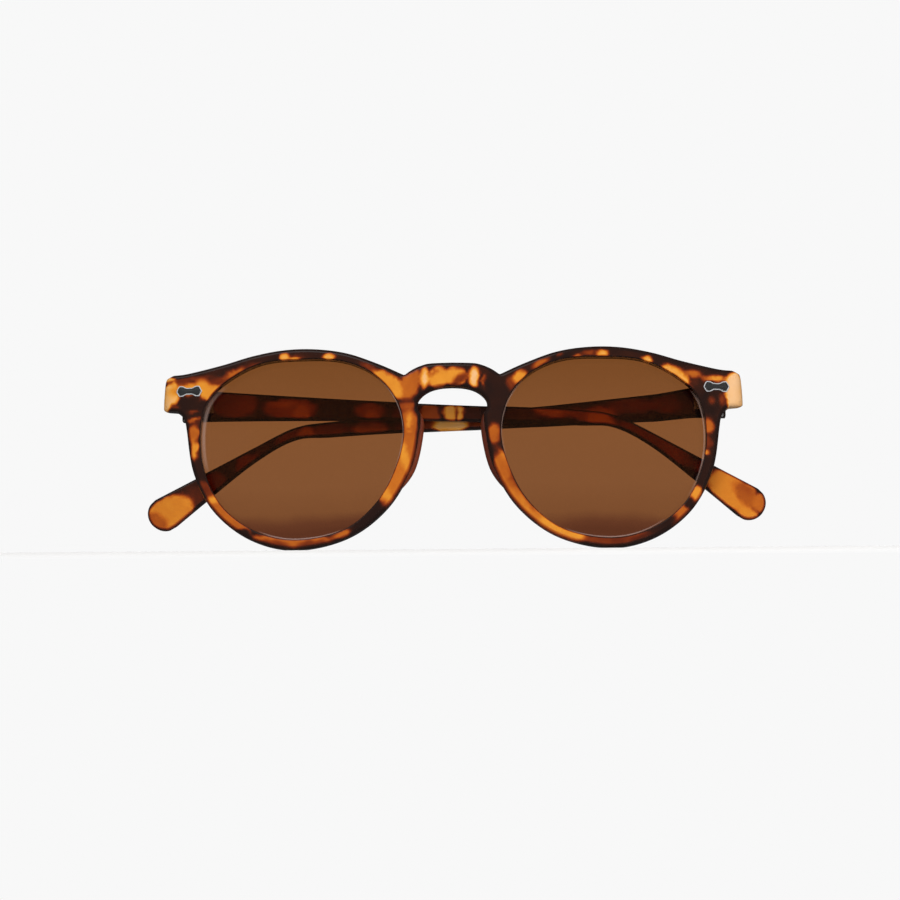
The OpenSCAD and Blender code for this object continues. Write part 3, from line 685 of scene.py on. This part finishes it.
def tinted_lens():
    """Clear brown glass, with painted highlights and reflections: pale matt lines where its attribute says so."""
    s = Shader("brown_lens", Roughness=0.0, IOR=1.5, Transmission_Weight=1.0)
    height = s.maths("MULTIPLY", s.height(), 1 / LENS_HEIGHT)
    haze = s.sway(s.noise(60, 2.0), 0.12)
    s.link(s.ramp(s.maths("ADD", height, haze), LENS_TINT), s.main.inputs["Base Color"])
    line = s.add("BsdfDiffuse", Color=LENS_HIGHLIGHT_PAINT)
    # The painted highlights are mixed in where the attribute says so
    s.surface(s.mix(s.attribute("painted_highlight"), s.main.outputs[0], line.outputs[0]))
    return s.material


def metal(name, colour, roughness, brushed, metallic):
    """Brushed metal: its grain varies the colour a little, and adds up to brushed to the roughness."""
    s = Shader(name, Metallic=metallic)
    grain = s.noise(5200, 4.0, Roughness=0.7)
    dark = linear(*(c * GRAIN_SHADE for c in colour))
    s.link(s.ramp(grain, [(0.25, dark), (0.75, linear(*colour))]), s.main.inputs["Base Color"])
    s.link(s.maths("ADD", s.maths("MULTIPLY", grain, brushed), roughness), s.main.inputs["Roughness"])
    s.bump(grain, 0.08, 0.00005)
    return s.material


ACETATE = tortoise("tortoise_acetate", 0.1)
PAD_ACETATE = tortoise("tortoise_pads", 0.4)
LENS = tinted_lens()
STEEL = metal("hinge_steel", (196, 194, 192), 0.25, 0.25, 0.6)
SCREW = metal("screw_steel", (210, 210, 212), 0.2, 0.25, 0.6)
BRIGHT = metal("bright_rim", (206, 206, 208), 0.16, 0.12, 0.3)
GUNMETAL = metal("gunmetal", (52, 52, 52), 0.32, 0.2, 0.3)


# Pieces

# Steps of the outlines, in millimetres
FRONT_STEP, LENS_STEP, PLAQUE_STEP, TEMPLE_STEP = 0.42, 0.8, 0.14, 0.5
# Radii of the rounded edges
FRONT_EDGE_R, BACK_EDGE_R, LENS_OPENING_R = 1.0, 0.7, 0.35
TEMPLE_INNER_R, TEMPLE_OUTER_R = 0.7, 0.9


def finish_piece(obj, body, slot, replaced, *materials):
    """Gives the piece its materials and its body, and hides the CAD nodes that it stands for. The slot is not
    used.
    """
    for material in materials:
        obj.data.materials.append(material)
    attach(obj, body)
    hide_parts(*replaced)


def make_front():
    lens = lens_outline()
    groove = (GROOVE - SKIN, lambda p: lens_depth(p, -SKIN), lambda p: lens_depth(p, LENS_T + SKIN))
    obj = plate("front", front_outline(), [lens, lens * [-1, 1]], front_near, front_far,
                rounded(FRONT_EDGE_R), rounded(BACK_EDGE_R), FRONT_STEP, groove, rounded(LENS_OPENING_R))
    paint(obj, FRONT_PATCHES, FRONT_SEED, FRONT_SLANT)
    place(obj)
    finish_piece(obj, "front", "front_acetate", ["front_frame"], ACETATE)


# Painted highlights and reflections: pale lines along the edges of the lenses. Each is the side, first and last
# angle round the lens in degrees, distance inwards and half width in millimetres, and strength. A line is full out
# to the first share of its half width and gone at the second, and fades towards its ends by the power.
LENS_PAINTED_HIGHLIGHTS = [
    (RIGHT, 139, 192, 0.6, 0.5, 0.22), (RIGHT, -24, 42, 0.12, 0.14, 0.4), (RIGHT, 242, 296, 0.4, 0.16, 0.5),
    (LEFT, -30, 34, 0.3, 0.16, 0.34), (LEFT, 140, 185, 0.12, 0.14, 0.3), (LEFT, 244, 310, 0.4, 0.16, 0.42)]
LINE_FULL, LINE_GONE, LINE_FADE = 0.4, 1.2, 0.6

# The share of a lens from its middle to where the fine rings for these lines start, and the number of
# rings before and after it
FINE_FROM, COARSE_RINGS, FINE_RINGS = 0.88, 19, 13
# How far the drawn lens stays out of the bottom of its groove
LENS_PLAY = 0.1


def painted_lens_highlights(side, points):
    """Strength of the painted highlights, pale lines, at each (x, z) of a lens."""
    off = points - [side * LENS_X, LENS_Z]
    angle = np.degrees(np.arctan2(off[:, 1], off[:, 0]))
    opening = resample(lens_outline(), LENS_STEP / 2) * [side, 1]
    inset = np.array([np.linalg.norm(opening - p, axis=1).min() for p in points])
    total = np.zeros(len(points))
    for which, first, last, middle, width, strength in LENS_PAINTED_HIGHLIGHTS:
        if which == side:
            along = np.clip((angle - first) % 360 / (last - first), 0, 1)
            fading = np.clip(np.sin(along * math.pi), 0, 1) ** LINE_FADE
            off_line = np.abs(inset - middle)
            total += strength * fading * (1 - step_up(off_line, LINE_FULL * width, LINE_GONE * width))
    return total


def make_lens(side):
    """A lens: rings round its middle on both surfaces, closed at the edge."""
    word = SIDE_NAMES[side]
    outline = resample(lens_outline(GROOVE - LENS_PLAY), LENS_STEP)
    middle = np.array([LENS_X, LENS_Z])
    shares = np.concatenate([np.linspace(0, FINE_FROM, COARSE_RINGS + 1)[1:],
                             np.linspace(FINE_FROM, 1, FINE_RINGS + 1)[1:]])
    n, steps = len(outline), len(shares)
    verts, faces = [], []

    def strip(a, b):
        faces.extend((a + i, b + i, b + (i + 1) % n, a + (i + 1) % n) for i in range(n))

    rims = []
    for behind in (0.0, LENS_T):
        start = len(verts)
        for share in shares:
            ring = middle + (outline - middle) * share
            verts.extend((side * p[0], y, p[1]) for p, y in zip(ring, lens_depth(ring, behind)))
        hub = len(verts)
        verts.append((side * middle[0], float(lens_depth(middle[None], behind)[0]), middle[1]))
        faces.extend((hub, start + i, start + (i + 1) % n) for i in range(n))
        for k in range(steps - 1):
            strip(start + k * n, start + (k + 1) * n)
        rims.append(hub - n)
    strip(*rims)
    obj = solid(f"{word}_lens", verts, faces)
    # Painted highlights and reflections along the lens edges
    set_attribute(obj.data, "painted_highlight", painted_lens_highlights(side, coordinates(obj)[:, [0, 2]]))
    place(obj)
    finish_piece(obj, "front", "lens_outer",
                 [f"{part}_{word}" for part in ("lens_outer_sheet", "polarising_film", "lens_inner_sheet")], LENS)
    obj.visible_shadow = False
    obj.visible_diffuse = False


# A pad's sections: their number in a span of its path, and the vertices round each
PAD_STEPS, PAD_AROUND = 14, 28
# Powers that make the sections squarer than an ellipse, across and in depth
PAD_ACROSS, PAD_DEEP = 0.75, 0.6
# How the width falls off towards both ends, the least width, and the share of the depth left there
PAD_FALL, PAD_BLUNT, PAD_END_WIDTH, PAD_END_DEPTH = 2.4, 0.7, 0.02, 0.45


def make_pad(side):
    """A pad: rounded sections along the nose side of the rim, thinning at both ends."""
    word = SIDE_NAMES[side]
    top = NOSE_HIGH[1] + PAD_RISE
    foot = NOSE_LOW + (NOSE_MIDDLE - NOSE_LOW) * (top - PAD_H - NOSE_LOW[1]) / (NOSE_MIDDLE[1] - NOSE_LOW[1])
    path = curve([foot + [0.2, 0], NOSE_MIDDLE, NOSE_HIGH, (NOSE_HIGH[0] + 0.3, top)], PAD_STEPS)
    along = path[1:] - path[:-1]
    along = np.vstack([along, along[-1:]])
    along /= np.linalg.norm(along, axis=1, keepdims=True)
    out = np.stack([-along[:, 1], along[:, 0]], axis=1)
    rows = len(path)
    y0, y1 = PAD_RECESS, FRONT_T + PAD_BACK
    half_width, offset = (PAD_PROUD + PAD_SEAT) / 2, (PAD_PROUD - PAD_SEAT) / 2
    verts = []
    for k, (p, normal) in enumerate(zip(path, out)):
        from_middle = abs(2 * k / (rows - 1) - 1)
        full = max(PAD_END_WIDTH, 1 - from_middle ** PAD_FALL) ** PAD_BLUNT
        for i in range(PAD_AROUND):
            a = 2 * math.pi * i / PAD_AROUND
            c, s = math.cos(a), math.sin(a)
            across = math.copysign(abs(c) ** PAD_ACROSS, c)
            deep = math.copysign(abs(s) ** PAD_DEEP, s)
            y = (y0 + y1) / 2 + (y1 - y0) / 2 * deep * (PAD_END_DEPTH + (1 - PAD_END_DEPTH) * full)
            lean = (y - y0) * math.tan(math.radians(PAD_SPLAY))
            q = p + normal * (offset + half_width * across) * full
            verts.append((side * (q[0] + lean), y, q[1]))
    n = PAD_AROUND
    faces = [(k * n + i, k * n + (i + 1) % n, (k + 1) * n + (i + 1) % n, (k + 1) * n + i)
             for k in range(rows - 1) for i in range(n)]
    faces += [tuple(range(n)), tuple(range((rows - 1) * n, rows * n))]
    obj = solid(f"{word}_pad", verts, faces, edge=np.ones(len(verts)))
    paint(obj, PAD_PATCHES, PAD_SEED)
    place(obj)
    finish_piece(obj, "front", "pad_acetate", [f"nose_pad_{word}"], PAD_ACETATE)


# A plaque's face: pairs of how far in and how far down, over its raised rim to its sunk middle, for a
# plate whose edges are drawn nearly six times flatter because it is thin
PLAQUE_PROFILE = [(0, 1.2), (0.03, 0.36), (0.08, 0), (0.22, 0), (0.26, 0.24), (0.3, 0.6), (0.5, 0.6)]
PLAQUE_BACK = [(0, 0), (0.1, 0), (0.3, 0)]
PLAQUE_SUNK = 0.3
# How far in the dark middle starts, and how deep its vertices lie at most
PLAQUE_DARK_FROM, PLAQUE_DARK_DEPTH = 0.25, 0.1
# How its outline is softened: the step, and how many times each point is drawn to its neighbours
PLAQUE_SOFT_STEP, PLAQUE_SOFT_TIMES = 0.12, 3


def make_plaque(side):
    """A plaque: pointed ends, a narrow waist, and a bright raised rim round a dark middle."""
    word = SIDE_NAMES[side]
    w, h, waist = PLAQUE_W / 2, PLAQUE_H / 2, PLAQUE_WAIST / 2
    quarter = [(w, 0), (w * 0.78, h), (w * 0.5, h), (w * 0.22, waist)]
    half = quarter + [(-x, z) for x, z in reversed(quarter)]
    outline = resample(np.array(half + [(-x, -z) for x, z in half[1:-1]]), PLAQUE_SOFT_STEP)
    for _ in range(PLAQUE_SOFT_TIMES):
        outline = (np.roll(outline, 1, axis=0) + 2 * outline + np.roll(outline, -1, axis=0)) / 4
    outline = outline + [side * (HALF_W - PLAQUE_INSET), END_MID_Z + PLAQUE_RISE]
    obj = plate(f"{word}_plaque", outline, [],
                lambda p: face_y(p[:, 0]) - PLAQUE_PROUD, lambda p: face_y(p[:, 0]) + PLAQUE_SUNK,
                PLAQUE_PROFILE, PLAQUE_BACK, PLAQUE_STEP)
    co = coordinates(obj)
    rim = rings(turned(resample(outline, PLAQUE_STEP), True), [PLAQUE_DARK_FROM])[0]
    dark = inside(co[:, [0, 2]], rim) & (co[:, 1] - face_y(co[:, 0]) < PLAQUE_DARK_DEPTH)
    place(obj)
    finish_piece(obj, "front", "plaque_metal", [f"front_plaque_{word}"], BRIGHT, GUNMETAL)
    for polygon in obj.data.polygons:
        if all(dark[i] for i in polygon.vertices):
            polygon.material_index = 1


# Temples, drawn along x from the hinge

TIP_MID = np.array([TEMPLE_L - TIP_R, MID_Z - EAR_DROP])
BEND_Z = MID_Z - TEMPLE_FALL
EAR = math.atan2(BEND_Z - TIP_MID[1], TIP_MID[0] - BEND_AT)
EAR_SLOPE = math.tan(EAR)
# Angles round the tip, from the ear piece's own direction: where the upper edge meets it, where its round
# end stops and where the lower edge starts
TIP_TOP, TIP_ROUND, TIP_FOOT = math.radians(24), math.radians(-140), math.radians(-168)
TIP_POINTS = 40
# Where a temple starts to thin towards its tip, and over what length
TAPER_FROM, TAPER_L = TEMPLE_PLATE_L + 4, TEMPLE_L - TEMPLE_PLATE_L - 3
# How the sag grows and fades along a temple: places as shares of its length, and shares of the sag
SAG_AT, SAG_SHARES = (0.05, 0.11, 0.3, 0.42, 0.8, 1), (0, 0.5, 0.9, 1, 1, 0.3)


def temple_outline(sag):
    """Outline of a temple from its hinge, which hangs down by the sag in its middle."""
    def tip(angle):
        return TIP_MID + TIP_R * np.array([math.cos(angle), math.sin(angle)])

    def ear(share, below):
        return (TIP_MID + share * (np.array([BEND_AT, BEND_Z]) - TIP_MID)
                - below * np.array([math.sin(EAR), math.cos(EAR)]))

    def bar(share, rise):
        return np.array([share * BEND_AT, MID_Z - share * TEMPLE_FALL + rise])

    top, under = BEND_Z + TEMPLE_MID_H / 2, BEND_Z - TEMPLE_MID_H / 2
    mid_h = (TEMPLE_BAR_H + TEMPLE_MID_H) / 2
    shoulder = np.array([BEND_AT + 6, top - 5.5 * EAR_SLOPE])
    tip_top = tip(EAR + TIP_TOP)
    start = TEMPLE_GAP - HINGE_OFFSET
    upper = curve([
        (start, MID_Z + TEMPLE_H / 2), (6.5, MID_Z + TEMPLE_BAR_H / 2), bar(0.25, 0.44 * TEMPLE_BAR_H),
        bar(0.45, 0.45 * mid_h), bar(0.65, 0.53 * TEMPLE_MID_H), bar(0.83, 0.5 * TEMPLE_MID_H),
        (BEND_AT - 6, top - 0.1), (BEND_AT, top - 1.6 * EAR_SLOPE), shoulder, (shoulder + tip_top) / 2, tip_top])
    round_tip = np.array([tip(a) for a in np.linspace(EAR, EAR + TIP_ROUND, TIP_POINTS)])
    lower = curve([
        tip(EAR + TIP_FOOT), ear(0.3, 2.5), ear(0.68, 0.7), (BEND_AT + 1, under - 0.76 * EAR_SLOPE),
        (BEND_AT - 8, under + 0.3 * EAR_SLOPE), (0.755 * BEND_AT, under + 1.1), bar(0.47, -0.46 * mid_h),
        bar(0.25, -0.46 * TEMPLE_BAR_H), (8, MID_Z - TEMPLE_H / 2 + 0.1), (start, MID_Z - TEMPLE_H / 2)])
    points = np.vstack([upper, round_tip, lower])
    shares = np.interp(points[:, 0] / TEMPLE_L, SAG_AT, SAG_SHARES)
    return points - np.stack([np.zeros(len(points)), sag * shares], axis=1)


def temple_inner(p):
    """The inner side, which slopes away behind the hinge leaf as the temple thins to its tip."""
    t = np.clip((p[:, 0] - TAPER_FROM) / TAPER_L, 0, 1)
    return HINGE_OFFSET + SKIN + (TEMPLE_T - TEMPLE_TIP_T - SKIN) * t


def temple_outer(p):
    return np.full(len(p), TEMPLE_OUTER)


def make_temple(side, fold, sag, patches, seed):
    """A temple, drawn along x and then turned about its hinge to lie folded, at that angle in degrees."""
    word = SIDE_NAMES[side]
    c, s = math.cos(math.radians(-fold)), math.sin(math.radians(-fold))

    def at_hinge(co):
        u, v = -side * co[:, 0], co[:, 1]
        return np.stack([side * HINGE_X + u * c - v * s, HINGE_Y + u * s + v * c, co[:, 2]], axis=1)

    obj = plate(f"{word}_temple_bar", temple_outline(sag), [], temple_inner, temple_outer,
                rounded(TEMPLE_INNER_R), rounded(TEMPLE_OUTER_R), TEMPLE_STEP)
    paint(obj, patches, seed, TEMPLE_SLANT, HINGE_OFFSET)
    place(obj, at_hinge)
    if side == LEFT:
        obj.data.flip_normals()
    finish_piece(obj, f"{word}_temple", "temple_acetate", [f"temple_{word}"], ACETATE)


def dress_cad():
    """Gives the metal pieces that stay from the CAD model their finish."""
    for name, obj in frame["nodes"].items():
        if "hinge_leaf" in name or "rivets" in name or "screw" in name:
            obj.data.materials.clear()
            obj.data.materials.append(SCREW if "screw" in name else STEEL)


make_front()
for which_side in (RIGHT, LEFT):
    make_lens(which_side)
    make_pad(which_side)
    make_plaque(which_side)
make_temple(RIGHT, RIGHT_FOLD, 0, RIGHT_TEMPLE_PATCHES, RIGHT_TEMPLE_SEED)
make_temple(LEFT, LEFT_FOLD, LEFT_SAG, LEFT_TEMPLE_PATCHES, LEFT_TEMPLE_SEED)
dress_cad()


# Stage, light and camera

WHITE = linear(248, 248, 248)
PLAIN_WHITE = (1, 1, 1, 1)
SHELF_MATT = linear(212, 211, 210)
# Strength of what the camera sees of the shelf as its own light: this share down to the first height,
# in metres, and all of it from the second one down
SHELF_FADE = (-0.0006, -0.0024, 0.15, 1.0)
SHELF_REFLECTION = 0.05
# Strength of the world as a light, and what some kinds of ray find of it instead
WORLD_LIGHT = 0.5
WORLD_SEEN = [("Is Glossy Ray", PLAIN_WHITE, 0.04), ("Is Transmission Ray", WHITE, 1.0),
              ("Is Camera Ray", WHITE, 1.0)]

# The shelf, in millimetres: how far its front stands before the face, how far it reaches back and to
# each side, how deep it is, and how far down its front edge is cut off
SHELF_FRONT, SHELF_REACH, SHELF_DEEP, SHELF_CUT = 1.2, 900, 130, 2.6
# Where the cut, which is a little skewed, meets the top at either end: how far back and how far down
SHELF_CORNERS = {RIGHT: (0.9, 0.64), LEFT: (1.87, 0.11)}


def shelf_white():
    """White to the camera and through the lenses, dim in reflections, matt for light and near the shelf's edge."""
    s = Shader("shelf_white", Base_Color=SHELF_MATT, Roughness=0.7)
    glow = s.add("Emission", Color=WHITE).outputs[0]
    dim = s.add("Emission", Color=WHITE, Strength=SHELF_REFLECTION).outputs[0]
    rays = s.add("LightPath").outputs
    below = s.add("MapRange", interpolation_type="SMOOTHSTEP")
    for socket, value in zip(below.inputs[1:5], SHELF_FADE):
        socket.default_value = value
    s.link(s.height(), below.inputs[0])
    seen = s.maths("ADD", rays["Is Camera Ray"], rays["Is Transmission Ray"])
    lit = s.mix(s.maths("MULTIPLY", seen, below.outputs[0]), s.main.outputs[0], glow)
    mirrored = s.maths("SUBTRACT", rays["Is Glossy Ray"], rays["Is Transmission Ray"], clamp=True)
    s.surface(s.mix(mirrored, lit, dim))
    return s.material


def shelf():
    """A pale shelf with its front edge, cut off at a slant, just under the rims."""
    front, back = -SHELF_FRONT, SHELF_REACH + DEPTH / 2
    verts = []
    for side in (RIGHT, LEFT):
        x = side * SHELF_REACH
        inset, drop = SHELF_CORNERS[side]
        verts += [(x, front, -SHELF_CUT), (x, front + inset, -drop), (x, back, 0), (x, back, -SHELF_DEEP),
                  (x, front, -SHELF_DEEP)]
    n = len(verts) // 2
    faces = [(0, n, n + 1), (0, n + 1, 1)]
    faces += [(i, (i + 1) % n, n + (i + 1) % n, n + i) for i in range(1, n)]
    faces += [tuple(range(n)), tuple(range(n, 2 * n))]
    obj = solid("shelf", verts, faces)
    place(obj)
    obj.data.materials.append(shelf_white())


def world():
    """Soft light from all round, dark in reflections, and white to the camera and through the lenses."""
    made = bpy.data.worlds.new("studio")
    bpy.context.scene.world = made
    made.use_nodes = True
    tree = made.node_tree
    rays = tree.nodes.new("ShaderNodeLightPath")
    plain = tree.nodes["Background"]
    plain.inputs["Color"].default_value = PLAIN_WHITE
    plain.inputs["Strength"].default_value = WORLD_LIGHT
    last = plain.outputs[0]
    for ray, colour, strength in WORLD_SEEN:
        other = tree.nodes.new("ShaderNodeBackground")
        other.inputs["Color"].default_value = colour
        other.inputs["Strength"].default_value = strength
        mix = tree.nodes.new("ShaderNodeMixShader")
        tree.links.new(rays.outputs[ray], mix.inputs[0])
        tree.links.new(last, mix.inputs[1])
        tree.links.new(other.outputs[0], mix.inputs[2])
        last = mix.outputs[0]
    tree.links.new(last, tree.nodes["World Output"].inputs["Surface"])


# Where the lamps aim, in millimetres
MIDDLE, ABOVE_MIDDLE = (0, 0, 25), (0, 0, 30)


def lamp(name, place_mm, aim_mm, size_mm, watts, mirrored=False):
    """A rectangular lamp. One that isn't mirrored lights the part but shows in no reflection or lens."""
    data = bpy.data.lights.new(name, "AREA")
    data.shape = "RECTANGLE"
    data.size, data.size_y = size_mm[0] * MM, size_mm[1] * MM
    data.energy = watts
    obj = bpy.data.objects.new(name, data)
    bpy.context.scene.collection.objects.link(obj)
    obj.visible_glossy = obj.visible_transmission = mirrored
    obj.location = Vector(place_mm) * MM
    obj.rotation_euler = (Vector(aim_mm) - Vector(place_mm)).to_track_quat("-Z", "Y").to_euler()


# The camera, as fitted to the photograph: focal length, sensor and clip distances as Blender has them,
# where it aims and how far away it stands in millimetres, and in degrees how far below the level of its
# aim it is, how far to the wearer's left and how far it is rolled
CAMERA_LENS, CAMERA_SENSOR = 97.81, 36
CAMERA_CLIP = (0.01, 20)
CAMERA_AIM, CAMERA_DISTANCE = (-0.6, 1.5 - DEPTH / 2, 24.2), 600
CAMERA_LOW, CAMERA_SIDE, CAMERA_ROLL = 8.5, 1.1, 0.33


def camera():
    """The photograph's own camera."""
    data = bpy.data.cameras.new("photo_camera")
    data.lens, data.sensor_width = CAMERA_LENS, CAMERA_SENSOR
    data.clip_start, data.clip_end = CAMERA_CLIP
    obj = bpy.data.objects.new("photo_camera", data)
    bpy.context.scene.collection.objects.link(obj)
    low, side, roll = (math.radians(a) for a in (CAMERA_LOW, CAMERA_SIDE, CAMERA_ROLL))
    back = Vector((math.sin(side) * math.cos(low), -math.cos(side) * math.cos(low), -math.sin(low)))
    right = Vector((math.cos(side), math.sin(side), 0))
    up = back.cross(right)
    across = right * math.cos(roll) - up * math.sin(roll)
    upward = up * math.cos(roll) + right * math.sin(roll)
    at = (Vector(CAMERA_AIM) + back * CAMERA_DISTANCE) * MM
    obj.matrix_world = Matrix((
        (across.x, upward.x, back.x, at.x), (across.y, upward.y, back.y, at.y),
        (across.z, upward.z, back.z, at.z), (0, 0, 0, 1)))
    bpy.context.scene.camera = obj


shelf()
world()
lamp("key", (-250, -780, 480), MIDDLE, (600, 400), 5.6)
lamp("glint", (-250, -700, 650), MIDDLE, (600, 400), 0.7, mirrored=True)
lamp("low", (60, -700, -220), ABOVE_MIDDLE, (500, 200), 1.3)
lamp("fill", (500, -500, 250), MIDDLE, (300, 500), 2.6)
lamp("rear", (0, 600, 500), MIDDLE, (800, 300), 4)
camera()
bpy.context.scene.view_settings.view_transform = "Standard"
